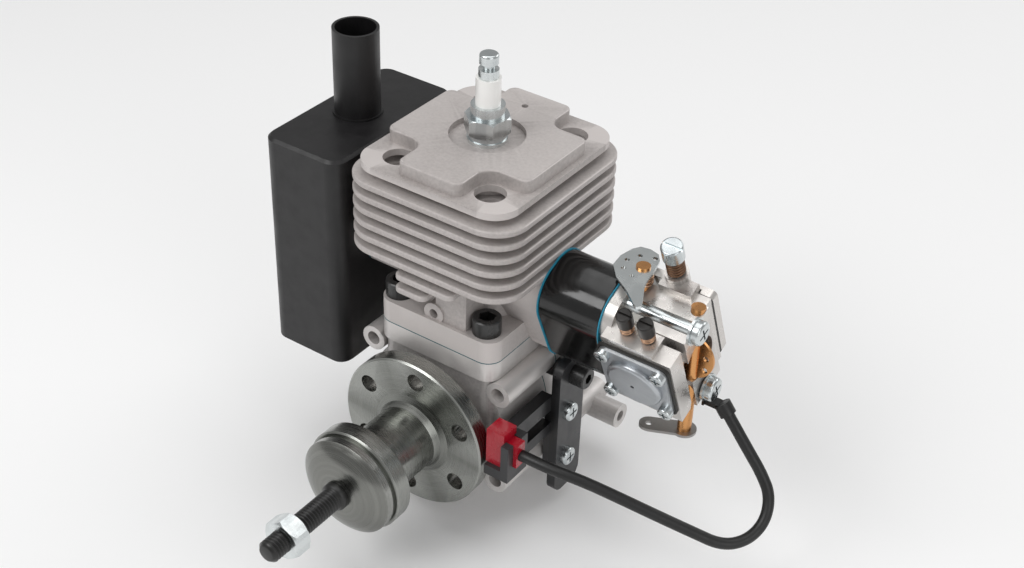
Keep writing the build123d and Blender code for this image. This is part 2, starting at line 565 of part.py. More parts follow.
def carb_covers():
    gasket = Pos(71.3, FRONT_FACE, 0) * Rot(90, 0, 0) * extrude(RectangleRounded(26.4, 27.0, 2.5), 1.0)
    gasket -= rod_y(71.5, 0, FRONT_FACE - 2, FRONT_FACE + 2, 8.0)
    cover = Pos(71.3, FRONT_FACE - 1.0, 0) * Rot(90, 0, 0) * extrude(RectangleRounded(25.0, 25.6, 3.0), 1.2)
    cover += rod_y(71.3, 0, FRONT_FACE - 4.2, FRONT_FACE - 2.0, 10.0)
    cover = fillet(end_edge(cover, (71.3, FRONT_FACE - 4.2, 0)), 1.4)
    cover -= rod_y(71.3, 0, FRONT_FACE - 3.2, FRONT_FACE, 8.4)
    cover -= rod_y(71.3, 0, FRONT_FACE - 5, FRONT_FACE, 0.7)
    screws = []
    for x, z in cover_corners():
        gasket -= rod_y(x, z, FRONT_FACE - 3, FRONT_FACE + 1, 1.5)
        cover -= rod_y(x, z, FRONT_FACE - 5, FRONT_FACE + 1, 1.4)
        screws.append(pan_screw((x, FRONT_FACE - 2.2, z), (0, 1, 0), 1.25, 8.4, 2.6, 2.2))
    save("metering_cover", carb(cover))
    pump_gasket = Pos(72.6, BACK_FACE, 0) * Rot(-90, 0, 0) * extrude(RectangleRounded(24.0, 32.0, 2.0), 0.8)
    pump = Pos(72.6, BACK_FACE + 0.8, 0) * Rot(-90, 0, 0) * extrude(RectangleRounded(24.0, 32.0, 2.0), 3.0)
    idle_clear = rod_z(IDLE_AT[0], IDLE_AT[1] - 1.0, 7.9, 40, 4.3)
    idle_clear += block(IDLE_AT[0] - 4.3, IDLE_AT[0] + 8.3, 8.8, IDLE_AT[1] - 0.6, 7.7, 40)
    pump_gasket -= rod_y(72.0, 0, BACK_FACE - 1, BACK_FACE + 5, 1.5) + idle_clear
    pump -= rod_y(72.0, 0, BACK_FACE - 1, BACK_FACE + 5, 1.4) + idle_clear
    pump += rod((66.0, BACK_FACE + 3.8, -8.0), (0, 1, 0), 3.0, 1.0)
    pump -= rod((66.0, BACK_FACE + 2.0, -8.0), (0, 1, 0), 1.6, 8.0)
    screws.append(pan_screw((72.0, BACK_FACE + 3.8, 0), (0, -1, 0), 1.25, 6.4, 2.6, 2.2))
    save("carb_cover_gaskets", carb(gasket), carb(pump_gasket))
    save("pump_cover", carb(pump))
    save("carb_cover_screws", *[carb(s) for s in screws])
    nipple = tube((66.0, BACK_FACE + 2.0, -8.0), (0, 1, 0), 1.58, 0.8, 12.0)
    nipple += tube((66.0, BACK_FACE + 4.9, -8.0), (0, 1, 0), 2.6, 0.8, 1.2)
    nipple += tube((66.0, BACK_FACE + 11.5, -8.0), (0, 1, 0), 1.8, 0.8, 1.4)
    save("fuel_nipple", carb(nipple))


def carb_controls():
    shaft_top = 73.6
    lever_z = 71.9
    throttle = rod_z(THROTTLE_X, 0, 30.6, shaft_top, CARB_SHAFT_R)
    throttle -= block(THROTTLE_X - 0.5, THROTTLE_X + 0.5, -4, 4, CARB_Z - 6.3, CARB_Z + 6.3)
    save("throttle_shaft", throttle)
    save("throttle_disc", Pos(THROTTLE_X, 0, CARB_Z) * Rot(0, 90, 0) * Cylinder(THROTTLE_BORE_R - 0.2, 0.98))
    outline = Polyline(
        (-8.6, -4.6), (-9.4, 1.2), (-8.4, 6.8), (-6.8, 9.6), (-3.4, 10.2), (0.2, 9.2), (2.4, 6.2), (3.6, 1.4),
        (4.6, -4.6), (5.6, -8.4), (8.8, -14.6), (10.7, -18.6), (9.6, -20.2), (7.8, -19.0), (2.9, -14.6),
        (-3.9, -10.1), close=True)
    lever = Pos(THROTTLE_X, 0, lever_z) * extrude(make_face(outline), 1.0)
    lever = fillet(lever.edges().filter_by(Axis.Z), 0.6)
    for k in range(5):
        a = radians(86 + 45 * k)
        lever -= rod_z(THROTTLE_X + 6.4 * cos(a), 6.4 * sin(a), 70, 75, 0.85 if k else 0.95)
    lever -= rod_z(THROTTLE_X, 0, 70, 75, CARB_SHAFT_R)
    lever += tube((THROTTLE_X, 0, lever_z - 0.9), (0, 0, 1), 3.6, CARB_SHAFT_R, 1.0)
    save("throttle_lever", lever)

    choke = rod_z(CHOKE_X, 0, 14.8, 66.7, CARB_SHAFT_R)
    choke -= block(CHOKE_X - 4, CHOKE_X + 4, -0.5, 0.5, CARB_Z - 7.86, CARB_Z + 7.86)
    save("choke_shaft", choke)
    disc = Pos(CHOKE_X, 0, CARB_Z) * Rot(90, 0, 0) * Cylinder(CHOKE_BORE_R - 0.3, 0.98)
    for z in (-3.4, 1.2):
        disc -= rod_y(CHOKE_X + 5.0, CARB_Z + z, -3, 3, 1.0)
    save("choke_disc", disc)
    reach = Vector(-10.8, -4.9, 0)
    plate_z = 15.9
    plate = rod_z(CHOKE_X, 0, plate_z, plate_z + 1.0, 4.2)
    plate += rod_z(CHOKE_X + reach.X, reach.Y, plate_z, plate_z + 1.0, 3.3)
    middle = Pos(CHOKE_X + reach.X / 2, reach.Y / 2, plate_z + 0.5)
    plate += middle * Rot(0, 0, 24.4) * Box(reach.length, 6.8, 1.0)
    plate -= rod_z(CHOKE_X + reach.X, reach.Y, plate_z - 1, plate_z + 2, 1.1)
    plate -= rod_z(CHOKE_X, 0, plate_z - 1, plate_z + 2, CARB_SHAFT_R)
    save("choke_lever", plate)

    x, y = IDLE_AT[0], IDLE_AT[1] - 1.0
    idle = rod_z(x, y, 10.0, 30, 1.5) + rod_z(x, y, 29.6, 35.4, 3.7)
    idle = fillet(end_edge(idle, (x, y, 35.4)), 0.7)
    idle -= Pos(x, y, 35.4) * Box(9, 0.9, 2.4)
    save("idle_screw", carb(idle))
    springs = [tube((THROTTLE_X, 0, 66.6), (0, 0, 1), 3.8, 2.9, 3.6)]
    springs.append(carb(tube((x, y, 21.7), (0, 0, 1), 3.2, 2.3, 7.7)))
    for name, (nx, ny) in zip(("needle_low", "needle_high"), NEEDLES):
        needle = rod_z(nx, ny, 8.0, 20.4, 1.3) + rod_z(nx, ny, 20.2, 25.6, 2.7)
        needle = fillet(end_edge(needle, (nx, ny, 25.6)), 0.6)
        needle -= Pos(nx, ny, 25.6) * Box(7, 0.8, 1.8)
        save(name, carb(needle))
        springs.append(carb(tube((nx, ny, 16.7), (0, 0, 1), 2.5, 1.7, 3.2)))
    save("carb_springs", *springs)
    heads = ((CARB_SCREW_Z, CARB_X[1]), (-CARB_SCREW_Z, CARB_X[1] + TERMINAL_THICK))
    save("carb_screws", *[carb(pan_screw((sx, 0, z), (-1, 0, 0), 2.5, 60, 4.2, 2.9, 4.9)) for z, sx in heads])


# ---------------------------------------------------------------- ignition sensor
ARM_SCREWS = ((-1.0, 2.8), (-1.0, -17.6))       # y, z on the bracket plate
SENSOR_Y = (-38.6, -31.4)
TERMINAL_THICK = 0.8            # earth terminal under the lower carburettor screw
CABLE_ROUTE = [
    (41.4, -34.6, 7.0), (52.0, -34.6, 7.0), (64.0, -31.0, 5.0), (76.5, -26.8, 1.0), (88.5, -22.4, -3.4),
    (99.0, -18.0, -7.6), (108.4, -13.6, -11.8), (114.4, -7.2, -11.1), (116.8, -0.1, -6.6),
    (114.8, 5.3, 0.3), (109.6, 7.0, 6.4), (104.6, 7.4, 11.8), (99.2, 7.8, 17.8), (94.6, 8.0, 23.2)]


def fillet_radii(points):
    """The largest tangent arc at each corner that two neighbouring arcs leave room for."""
    radii = []
    for a, b, c in zip(points, points[1:], points[2:]):
        into, out = Vector(*b) - Vector(*a), Vector(*c) - Vector(*b)
        turn = radians(into.get_angle(out))
        radii.append(0.45 * min(into.length, out.length) / tan(turn / 2))
    return radii


def ignition_sensor():
    x0, x1 = BRACKET_X
    plate = Plane.YZ * RectangleRounded(15.6, 57.0, 5.0)
    plate = Pos(x0, 1.0, -4.5) * extrude(plate, x1 - x0, dir=(1, 0, 0))
    bolt_y, bolt_z = BRACKET_BOLT
    plate -= rod_x(bolt_y, bolt_z, x0 - 1, x1 + 1, 2.1)
    for y, z in ARM_SCREWS:
        plate -= rod_x(y, z, x0 - 1, x1 + 1, 1.6)
    spacer = tube((26.6, bolt_y, bolt_z), (1, 0, 0), 4.0, 2.1, x0 - 26.6)
    spacer -= rod_y(LUGS[1][0], LUGS[1][1], -40, 40, LUG_R + 0.01)
    save("sensor_bracket", plate + spacer)
    bolt = socket_screw((x1, bolt_y, bolt_z), (-1, 0, 0), 2.0, x1 - 24, 4.0, 5.6, 3.4)

    root = block(x0 - 2.6, x0, -6.4, 5.6, -22.5, 8.0)
    arm = root + block(x0 - 4.4, x0, -31.0, -6, 4.6, 11.0) + block(x0 - 4.4, x0, -31.0, -6, -5.6, -1.0)
    head = block(30.4, 40.0, -40.4, -29.0, -2.4, 12.4)
    head -= block(20, 37.0, -45, SENSOR_Y[1], 1.5, 20)
    head -= block(30, 45, -37.4, -32.6, 3.0, 20)
    arm += head
    for y, z in ARM_SCREWS:
        arm -= rod_x(y, z, 20, x0 + 1, 1.27)
    save("sensor_arm", arm)
    sensor = block(29.9, 36.98, *SENSOR_Y, 1.52, 15.5)
    sensor += block(36.9, 41.4, -37.38, -32.62, 3.02, 12.0)
    save("hall_sensor", sensor)
    screws = [pan_screw((x1, y, z), (-1, 0, 0), 1.25, 5.8, 3.5, 2.4) for y, z in ARM_SCREWS]
    save("bracket_screws", bolt, *screws)

    route = CABLE_ROUTE
    radii = fillet_radii(route)
    path = FilletPolyline(*route, radius=radii)
    start = Plane(origin=route[0], z_dir=Vector(*route[1]) - Vector(*route[0]))
    cable = sweep(start * Circle(CABLE_R), path=path)
    save("sensor_cable", cable)
    print("cable radii", [round(r, 1) for r in radii], "length", round(path.length, 1),
          "volume", round(cable.volume / (3.14159265 * CABLE_R ** 2 * path.length), 4))
    last = Vector(*route[-1]) - Vector(*route[-2])
    ring = carb(rod_x(0, -CARB_SCREW_Z, CARB_X[1], CARB_X[1] + TERMINAL_THICK, 4.6)
                - rod_x(0, -CARB_SCREW_Z, CARB_X[1] - 1, CARB_X[1] + 2, 2.6))
    ring += block(CARB_X[1], CARB_X[1] + TERMINAL_THICK, 5.6, 11.0, 24.4, 28.6)
    ring += block(CARB_X[1], 92.6, 6.4, 10.4, 24.4, 26.0)
    save("cable_terminal", ring + rod(route[-1], last, 2.9, 4.4))


os.makedirs("parts", exist_ok=True)
crankcase()
crank_train()
piston_group()
hub_group()
cylinder()
spark_plug()
muffler()
intake()
carb_body()
carb_covers()
carb_controls()
ignition_sensor()
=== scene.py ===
"""Looks of a single-cylinder two-stroke model aircraft engine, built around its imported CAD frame.

Everything is in metres in the frame's own axes: -Y to the propeller, +Z up the cylinder and
+X to the carburettor.
"""
from math import cos, pi, radians, sin

import bmesh
import bpy
from mathutils import Matrix, Vector


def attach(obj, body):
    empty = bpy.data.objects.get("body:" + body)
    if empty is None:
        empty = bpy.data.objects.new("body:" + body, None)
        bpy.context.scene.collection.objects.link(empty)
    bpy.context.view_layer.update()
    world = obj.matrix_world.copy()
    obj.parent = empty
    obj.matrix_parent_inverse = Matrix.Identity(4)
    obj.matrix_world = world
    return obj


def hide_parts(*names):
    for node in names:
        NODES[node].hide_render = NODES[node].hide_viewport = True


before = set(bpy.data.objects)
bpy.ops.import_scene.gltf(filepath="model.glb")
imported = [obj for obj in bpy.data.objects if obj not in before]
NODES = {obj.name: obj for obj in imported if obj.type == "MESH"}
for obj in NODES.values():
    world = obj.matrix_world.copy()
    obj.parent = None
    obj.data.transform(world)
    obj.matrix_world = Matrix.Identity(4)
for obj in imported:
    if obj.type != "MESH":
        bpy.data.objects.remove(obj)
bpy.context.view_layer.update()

MM = 0.001
AXIS_Y = -0.038                 # cylinder axis behind the mounting face
CRANK_Z = -0.002                # crank axis below the centre of the mounting bolts
CARB_Z = 0.045                  # carburettor bore axis
CARB_TILT = radians(23.5)


def place(x, y, z):
    """A point in millimetres about the cylinder and crank axes, in the frame's metres."""
    return Vector((x * MM, y * MM + AXIS_Y, z * MM + CRANK_Z))


def carb_place(x, y, z):
    """A point of the tilted carburettor body, in millimetres about its bore."""
    tilted = Matrix.Rotation(CARB_TILT, 3, "X") @ Vector((x, y, z))
    return tilted * MM + Vector((0, AXIS_Y, CARB_Z))


# ---------------------------------------------------------------- camera
def make_camera():
    data = bpy.data.cameras.new("camera")
    data.sensor_width = 36
    data.lens = 56.25
    data.shift_x = -0.0236
    data.shift_y = 0.0271
    camera = bpy.data.objects.new("camera", data)
    bpy.context.scene.collection.objects.link(camera)
    right = Vector((0.8241459, 0.5649894, 0.0396295))
    up = Vector((-0.3580446, 0.4655048, 0.8093883))
    back = right.cross(up)
    turn = Matrix((right, up, back)).transposed().to_4x4()
    camera.matrix_world = Matrix.Translation((0.26232, -0.41066, 0.35626)) @ turn
    bpy.context.scene.camera = camera


# ---------------------------------------------------------------- sensor cable
CABLE_ROUTE = [
    (41.4, -34.6, 7.0), (52.0, -34.6, 7.0), (64.0, -31.0, 5.0), (76.5, -26.8, 1.0), (88.5, -22.4, -3.4),
    (99.0, -18.0, -7.6), (108.4, -13.6, -11.8), (114.4, -7.2, -11.1), (116.8, -0.1, -6.6),
    (114.8, 5.3, 0.3), (109.6, 7.0, 6.4), (104.6, 7.4, 11.8), (99.2, 7.8, 17.8), (94.6, 8.0, 23.2)]
CABLE_R = 2.0 * MM


def make_cable():
    curve = bpy.data.curves.new("sensor_cable_look", "CURVE")
    curve.dimensions = "3D"
    curve.bevel_depth = CABLE_R
    curve.bevel_resolution = 8
    curve.resolution_u = 16
    curve.use_fill_caps = True
    spline = curve.splines.new("NURBS")
    spline.points.add(len(CABLE_ROUTE) - 1)
    for point, xyz in zip(spline.points, CABLE_ROUTE):
        point.co = (*place(*xyz), 1)
    spline.order_u = 3
    spline.use_endpoint_u = True
    cable = bpy.data.objects.new("sensor_cable_look", curve)
    bpy.context.scene.collection.objects.link(cable)
    curve.materials.append(rubber("cable_rubber_look", 0.0055))
    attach(cable, "engine")
    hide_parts("sensor_cable")


# ---------------------------------------------------------------- materials
class Look:
    """A procedural material: a base shader and the nodes that vary it."""

    def __init__(self, name, color, metallic=0.0, roughness=0.5, coat=0.0):
        self.material = bpy.data.materials.new(name)
        self.material.use_nodes = True
        self.tree = self.material.node_tree
        self.shader = self.tree.nodes["Principled BSDF"]
        self.shader.inputs["Base Color"].default_value = (*color, 1)
        self.shader.inputs["Metallic"].default_value = metallic
        self.shader.inputs["Roughness"].default_value = roughness
        self.shader.inputs["Coat Weight"].default_value = coat
        self.coords = self.tree.nodes.new("ShaderNodeTexCoord")
        self.normal = None

    def link(self, source, target):
        self.tree.links.new(source, target)

    def mapped(self, scale, centre=(0, 0, 0)):
        mapping = self.tree.nodes.new("ShaderNodeMapping")
        mapping.inputs["Location"].default_value = [-c * s for c, s in zip(centre, scale)]
        mapping.inputs["Scale"].default_value = scale
        self.link(self.coords.outputs["Object"], mapping.inputs["Vector"])
        return mapping.outputs["Vector"]

    def noise(self, scale, detail=3.0, roughness=0.5, stretch=(1, 1, 1), vector=None):
        node = self.tree.nodes.new("ShaderNodeTexNoise")
        node.inputs["Scale"].default_value = scale
        node.inputs["Detail"].default_value = detail
        node.inputs["Roughness"].default_value = roughness
        self.link(vector or self.mapped(stretch), node.inputs["Vector"])
        return node.outputs["Fac"]

    def cells(self, scale):
        node = self.tree.nodes.new("ShaderNodeTexVoronoi")
        node.inputs["Scale"].default_value = scale
        self.link(self.coords.outputs["Object"], node.inputs["Vector"])
        return node.outputs["Distance"]

    def ramp(self, value, stops):
        node = self.tree.nodes.new("ShaderNodeValToRGB")
        elements = node.color_ramp.elements
        while len(elements) < len(stops):
            elements.new(0.5)
        for element, (at, color) in zip(elements, stops):
            element.position = at
            element.color = (*color, 1) if len(color) == 3 else color
        self.link(value, node.inputs["Fac"])
        return node.outputs["Color"]

    def between(self, value, low, high, from_low=0.3, from_high=0.7):
        node = self.tree.nodes.new("ShaderNodeMapRange")
        node.inputs["From Min"].default_value = from_low
        node.inputs["From Max"].default_value = from_high
        node.inputs["To Min"].default_value = low
        node.inputs["To Max"].default_value = high
        self.link(value, node.inputs["Value"])
        return node.outputs["Result"]

    def maths(self, operation, first, second):
        node = self.tree.nodes.new("ShaderNodeMath")
        node.operation = operation
        for socket, value in zip(node.inputs, (first, second)):
            if isinstance(value, (int, float)):
                socket.default_value = value
            else:
                self.link(value, socket)
        return node.outputs[0]

    def mix(self, factor, first, second):
        node = self.tree.nodes.new("ShaderNodeMix")
        node.data_type = "RGBA"
        self.link(factor, node.inputs["Factor"])
        for socket, value in ((node.inputs[6], first), (node.inputs[7], second)):
            if isinstance(value, tuple):
                socket.default_value = (*value, 1)
            else:
                self.link(value, socket)
        return node.outputs[2]

    def bump(self, height, distance, strength=1.0):
        node = self.tree.nodes.new("ShaderNodeBump")
        node.inputs["Strength"].default_value = strength
        node.inputs["Distance"].default_value = distance
        self.link(height, node.inputs["Height"])
        if self.normal:
            self.link(self.normal, node.inputs["Normal"])
        self.normal = node.outputs["Normal"]
        self.link(self.normal, self.shader.inputs["Normal"])

    def edges(self, low=0.50, high=0.62):
        """Bright on convex edges, from the mesh's own curvature: wear on most looks, a painted highlight on
        turned metal.
        """
        geometry = self.tree.nodes.new("ShaderNodeNewGeometry")
        return self.between(geometry.outputs["Pointiness"], 0, 1, low, high)

    def color(self, socket):
        self.link(socket, self.shader.inputs["Base Color"])

    def rough(self, socket):
        self.link(socket, self.shader.inputs["Roughness"])


def cast_metal(name, dark, light, roughness, grain=0.00006, metallic=0.85):
    """Blasted or as-cast metal: fine grain, faint blotches, brighter worn edges."""
    look = Look(name, light, metallic, roughness)
    blotch = look.noise(28, 4.0, 0.6)
    fine = look.noise(900, 3.0, 0.6)
    base = look.ramp(blotch, ((0.3, dark), (0.7, light)))
    speck = look.ramp(fine, ((0.32, (0.72, 0.72, 0.72)), (0.62, (1, 1, 1))))
    speckled = look.tree.nodes.new("ShaderNodeMix")
    speckled.data_type = "RGBA"
    speckled.blend_type = "MULTIPLY"
    speckled.inputs["Factor"].default_value = 0.55
    look.link(base, speckled.inputs[6])
    look.link(speck, speckled.inputs[7])
    wear_and_edge_highlight = look.mix(look.edges(), speckled.outputs[2], tuple(min(1.0, c * 1.12) for c in light))
    look.color(wear_and_edge_highlight)
    look.rough(look.between(look.noise(240, 3.0), roughness - 0.08, roughness + 0.08))
    look.bump(look.noise(1300, 3.0, 0.65), grain, 0.7)
    look.bump(look.cells(520), grain * 1.2, 0.35)
    return look.material


def turned_metal(name, color, roughness):
    """Metal turned on a lathe: fine rings about the crank's axis, by distance from it and along it."""
    look = Look(name, color, 1.0, roughness)
    look.shader.inputs["Anisotropic"].default_value = 0.5
    split = look.tree.nodes.new("ShaderNodeSeparateXYZ")
    look.link(look.mapped((1, 1, 1), (0, AXIS_Y, CRANK_Z)), split.inputs[0])
    square = look.maths("ADD", look.maths("MULTIPLY", split.outputs["X"], split.outputs["X"]),
                        look.maths("MULTIPLY", split.outputs["Z"], split.outputs["Z"]))
    radius = look.maths("POWER", square, 0.5)
    ring = look.tree.nodes.new("ShaderNodeCombineXYZ")
    look.link(radius, ring.inputs[0])
    look.link(split.outputs["Y"], ring.inputs[1])
    streaks = look.noise(2600, 4.0, 0.7, vector=ring.outputs[0])
    broad = look.noise(420, 3.0, 0.6, vector=ring.outputs[0])
    dark, light = tuple(c * 0.86 for c in color), tuple(c * 1.12 for c in color)
    shade = look.ramp(broad, ((0.3, dark), (0.7, light)))
    # Painted highlight: the convex edges of turned metal are painted lighter to stand in for light caught on
    # the edges, not wear.
    wear_and_edge_highlight = look.mix(look.edges(0.52, 0.60), shade, tuple(c * 1.25 + 0.08 for c in color))
    look.color(wear_and_edge_highlight)
    look.rough(look.between(streaks, roughness - 0.07, roughness + 0.09))
    look.bump(streaks, 0.00001, 0.8)
    return look.material


def plated_metal(name, color, roughness, tint=None, grain=0.000012):
    """Zinc plated or brushed sheet metal with a slightly uneven film."""
    look = Look(name, color, 1.0, roughness)
    film = look.noise(70, 3.0, 0.6)
    other = tint or tuple(c * 0.82 for c in color)
    look.color(look.mix(look.edges(), look.ramp(film, ((0.32, other), (0.66, color))),
                        tuple(min(1.0, c * 1.15) for c in color)))
    look.rough(look.between(look.noise(300, 3.0), roughness - 0.06, roughness + 0.1))
    look.bump(look.noise(1500, 2.0, 0.6), grain, 0.6)
    return look.material


def painted(name, color, roughness, grain=0.00002, sheen_color=None, coat=0.0, wear_and_edge_highlight=None):
    """Paint, oxide or moulded plastic: even colour with a fine texture."""
    look = Look(name, color, 0.0, roughness, coat)
    light = sheen_color or tuple(c * 1.4 + 0.0012 for c in color)
    base = look.ramp(look.noise(55, 3.0, 0.6), ((0.3, color), (0.75, light)))
    if wear_and_edge_highlight:
        base = look.mix(look.edges(0.53, 0.64), base, wear_and_edge_highlight)
    look.color(base)
    look.rough(look.between(look.noise(180, 3.0), roughness - 0.07, roughness + 0.08))
    look.bump(look.noise(1700, 3.0, 0.6), grain, 0.6)
    return look.material


def rubber(name, level):
    look = Look(name, (level, level, level), 0.0, 0.42)
    look.color(look.ramp(look.noise(90, 3.0), ((0.3, (level, level, level)),
                                               (0.7, (level * 1.6, level * 1.6, level * 1.6)))))
    look.rough(look.between(look.noise(400, 3.0), 0.36, 0.52))
    look.bump(look.noise(1400, 2.0), 0.00002, 0.5)
    return look.material


def fibre(name, color):
    look = Look(name, color, 0.0, 0.6)
    look.color(look.ramp(look.noise(700, 4.0, 0.7), ((0.3, tuple(c * 0.7 for c in color)), (0.7, color))))
    look.bump(look.noise(1600, 3.0), 0.00002, 0.6)
    return look.material


def ceramic(name):
    look = Look(name, (0.90, 0.89, 0.86), 0.0, 0.16, 0.4)
    look.color(look.ramp(look.noise(45, 2.0), ((0.3, (0.86, 0.85, 0.82)), (0.7, (0.93, 0.92, 0.90)))))
    look.rough(look.between(look.noise(200, 2.0), 0.12, 0.22))
    return look.material


def make_materials():
    cast = cast_metal("cylinder_cast", (0.43, 0.395, 0.38), (0.53, 0.495, 0.48), 0.58, metallic=0.25)
    case = cast_metal("crankcase_cast", (0.44, 0.42, 0.41), (0.60, 0.575, 0.56), 0.42, metallic=0.5)
    carb_cast = cast_metal("carburettor_cast", (0.40, 0.375, 0.36), (0.60, 0.575, 0.55), 0.30,
                           0.00003, metallic=0.8)
    hub = turned_metal("hub_turned", (0.22, 0.225, 0.21), 0.27)
    cone = turned_metal("cone_turned", (0.21, 0.212, 0.198), 0.23)
    zinc = plated_metal("zinc_plate", (0.62, 0.65, 0.65), 0.22, (0.46, 0.50, 0.52))
    cover_zinc = plated_metal("galvanised_sheet", (0.50, 0.52, 0.54), 0.34, (0.40, 0.42, 0.445))
    steel = plated_metal("ground_steel", (0.56, 0.56, 0.57), 0.26)
    lever_steel = plated_metal("stamped_steel", (0.30, 0.29, 0.28), 0.38)
    brass = plated_metal("brass_metal", (0.58, 0.29, 0.115), 0.27, (0.44, 0.20, 0.075))
    oxide = painted("black_oxide", (0.007, 0.0068, 0.0065), 0.30, wear_and_edge_highlight=(0.045, 0.045, 0.045))
    paint = painted("muffler_black", (0.0055, 0.005, 0.0055), 0.42, 0.00003)
    phenolic = painted("moulded_black", (0.003, 0.003, 0.003), 0.16, 0.00001, coat=0.2)
    bracket = painted("bracket_black", (0.005, 0.005, 0.0055), 0.34, 0.00002, wear_and_edge_highlight=(0.03, 0.03, 0.032))
    caps = painted("cap_black", (0.008, 0.0062, 0.005), 0.40)
    red = painted("sensor_red_plastic", (0.33, 0.004, 0.014), 0.25, 0.00001, (0.42, 0.006, 0.022), 0.3)
    gasket = fibre("gasket_dark", (0.035, 0.13, 0.15))
    dark_gasket = fibre("gasket_black", (0.022, 0.020, 0.018))
    blue = fibre("gasket_blue", (0.02, 0.30, 0.46))
    seal = rubber("seal_rubber_look", 0.009)
    cable = rubber("terminal_rubber", 0.006)
    white = ceramic("plug_ceramic_look")
    return {
        cast: ("cylinder",),
        case: ("crankcase_front", "crankcase_rear", "rear_cover"),
        carb_cast: ("carb_body", "pump_cover"),
        hub: ("prop_hub", "thrust_washer"),
        cone: ("clamp_cone",),
        zinc: ("prop_nut", "plug_shell", "plug_gasket", "plug_terminal", "carb_screws", "carb_cover_screws",
               "bracket_screws", "throttle_lever", "idle_screw"),
        cover_zinc: ("metering_cover",),
        steel: ("bearing_outer_rings", "bearing_inner_rings", "bearing_balls", "wrist_pin", "wrist_pin_clips",
                "crank_pin", "conrod_bearings", "crankshaft_front", "crankshaft_rear", "hub_magnet", "conrod",
                "piston_rings", "piston", "carb_springs"),
        lever_steel: ("choke_lever",),
        brass: ("fuel_nipple", "throttle_shaft", "throttle_disc", "choke_shaft", "choke_disc"),
        oxide: ("crankcase_screws", "base_bolts", "muffler_bolts", "prop_stud"),
        paint: ("muffler_shell", "muffler_stack"),
        phenolic: ("intake_insulator",),
        bracket: ("sensor_bracket", "sensor_arm"),
        caps: ("needle_low", "needle_high"),
        red: ("hall_sensor",),
        gasket: ("crankcase_gasket", "base_gasket", "muffler_gasket"),
        dark_gasket: ("carb_cover_gaskets",),
        blue: ("insulator_gaskets",),
        seal: ("front_seal",),
        cable: ("cable_terminal",),
        white: ("plug_insulator",),
    }


def paint_nodes():
    for material, names in make_materials().items():
        for name in names:
            mesh = NODES[name].data
            mesh.materials.clear()
            mesh.materials.append(material)
    for name, node in NODES.items():
        if not node.data.materials:
            print("no material:", name)


BRACKET_BOLT_ABOVE = 10 * MM    # only the upper bolt of bracket_screws lies above this


def blacken_bracket_bolt():
    """The bracket's upper bolt is black; the two small screws below it stay plated."""
    mesh = NODES["bracket_screws"].data
    mesh.materials.append(bpy.data.materials["black_oxide"])
    for face in mesh.polygons:
        if face.center.z > BRACKET_BOLT_ABOVE:
            face.material_index = 1


# ---------------------------------------------------------------- threads and springs
def mesh_piece(name, points, faces, material, body, node):
    """A smooth-shaded mesh that rides on a body and stands for a CAD node."""
    mesh = bpy.data.meshes.new(name)
    mesh.from_pydata([tuple(p) for p in points], [], faces)
    mesh.update()
    work = bmesh.new()
    work.from_mesh(mesh)
    bmesh.ops.recalc_face_normals(work, faces=work.faces)
    work.to_mesh(mesh)
    work.free()
    mesh.polygons.foreach_set("use_smooth", [True] * len(mesh.polygons))
    mesh.materials.append(material)
    piece = bpy.data.objects.new(name, mesh)
    bpy.context.scene.collection.objects.link(piece)
    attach(piece, body)
    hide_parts(node)


def lathe_rows(rows, around):
    """Faces that join rings of points and close both ends."""
    faces = []
    for row in range(rows - 1):
        for k in range(around):
            here, side = row * around + k, row * around + (k + 1) % around
            faces.append((here, side, side + around, here + around))
    faces.append(tuple(range(around)))
    faces.append(tuple(range((rows - 1) * around, rows * around)))
    return faces


STUD_R = 4.0
STUD_PITCH = 1.25
STUD_DEPTH = 0.62
STUD_PLAIN = ((-43.3, 3.9), (-80.4, 3.9), (-80.5, 4.88), (-80.7, 4.9), (-82.3, 4.9), (-82.6, 4.6))
STUD_THREAD = (-82.9, -113.4)
STUD_TIP = ((-113.9, 3.35), (-114.4, 2.95), (-114.5, 2.6))
STUD_AROUND = 64                # points round the stud
STUD_ROWS = 10                  # rings of points in one pitch


def thread_radius(y, turn):
    """Radius of a vee thread with a flat crest, fading out at both ends."""
    wave = (y / STUD_PITCH + turn) % 1.0
    cut = min(1.0, max(0.0, 1.35 * abs(2 * wave - 1) - 0.15))
    fade = min(1.0, (STUD_THREAD[0] - y) / 1.2, (y - STUD_THREAD[1]) / 0.8 + 0.3)
    return STUD_R - STUD_DEPTH * cut * max(0.0, fade)


def threaded_stud(material):
    """The propeller stud: a plain collar end, a cut thread and a chamfered tip, as y and radius."""
    steps = int((STUD_THREAD[0] - STUD_THREAD[1]) / STUD_PITCH * STUD_ROWS)
    span = STUD_THREAD[1] - STUD_THREAD[0]
    heights = list(STUD_PLAIN)
    heights += [(STUD_THREAD[0] + span * k / steps, None) for k in range(steps + 1)]
    heights += list(STUD_TIP)
    points = []
    for y, radius in heights:
        for k in range(STUD_AROUND):
            r = thread_radius(y, k / STUD_AROUND) if radius is None else radius
            angle = 2 * pi * k / STUD_AROUND
            points.append(place(r * cos(angle), y, r * sin(angle)))
    mesh_piece("threaded_stud", points, lathe_rows(len(heights), STUD_AROUND), material, "crank",
               "prop_stud")


COIL_STEPS = 28                 # rings of points in one turn
COIL_AROUND = 10                # points round the wire
COIL_CLOSED = 0.75              # turns over which each end closes
COIL_LEAD = 6.3                 # divides the rise of a turn into its slope
THROTTLE_SPRING = ((62.0, 0, 66.6), 3.3, 0.42, 3.0, 3.6)     # foot, radius, wire, turns, length
NEEDLE_SPRINGS = (((66.5, -9.0, 16.7), 2.08, 0.38, 3.0, 3.2), ((74.2, -9.0, 16.7), 2.08, 0.38, 3.0, 3.2))
IDLE_SPRING = ((71.5, 14.6, 21.7), 2.7, 0.46, 6.0, 7.7)


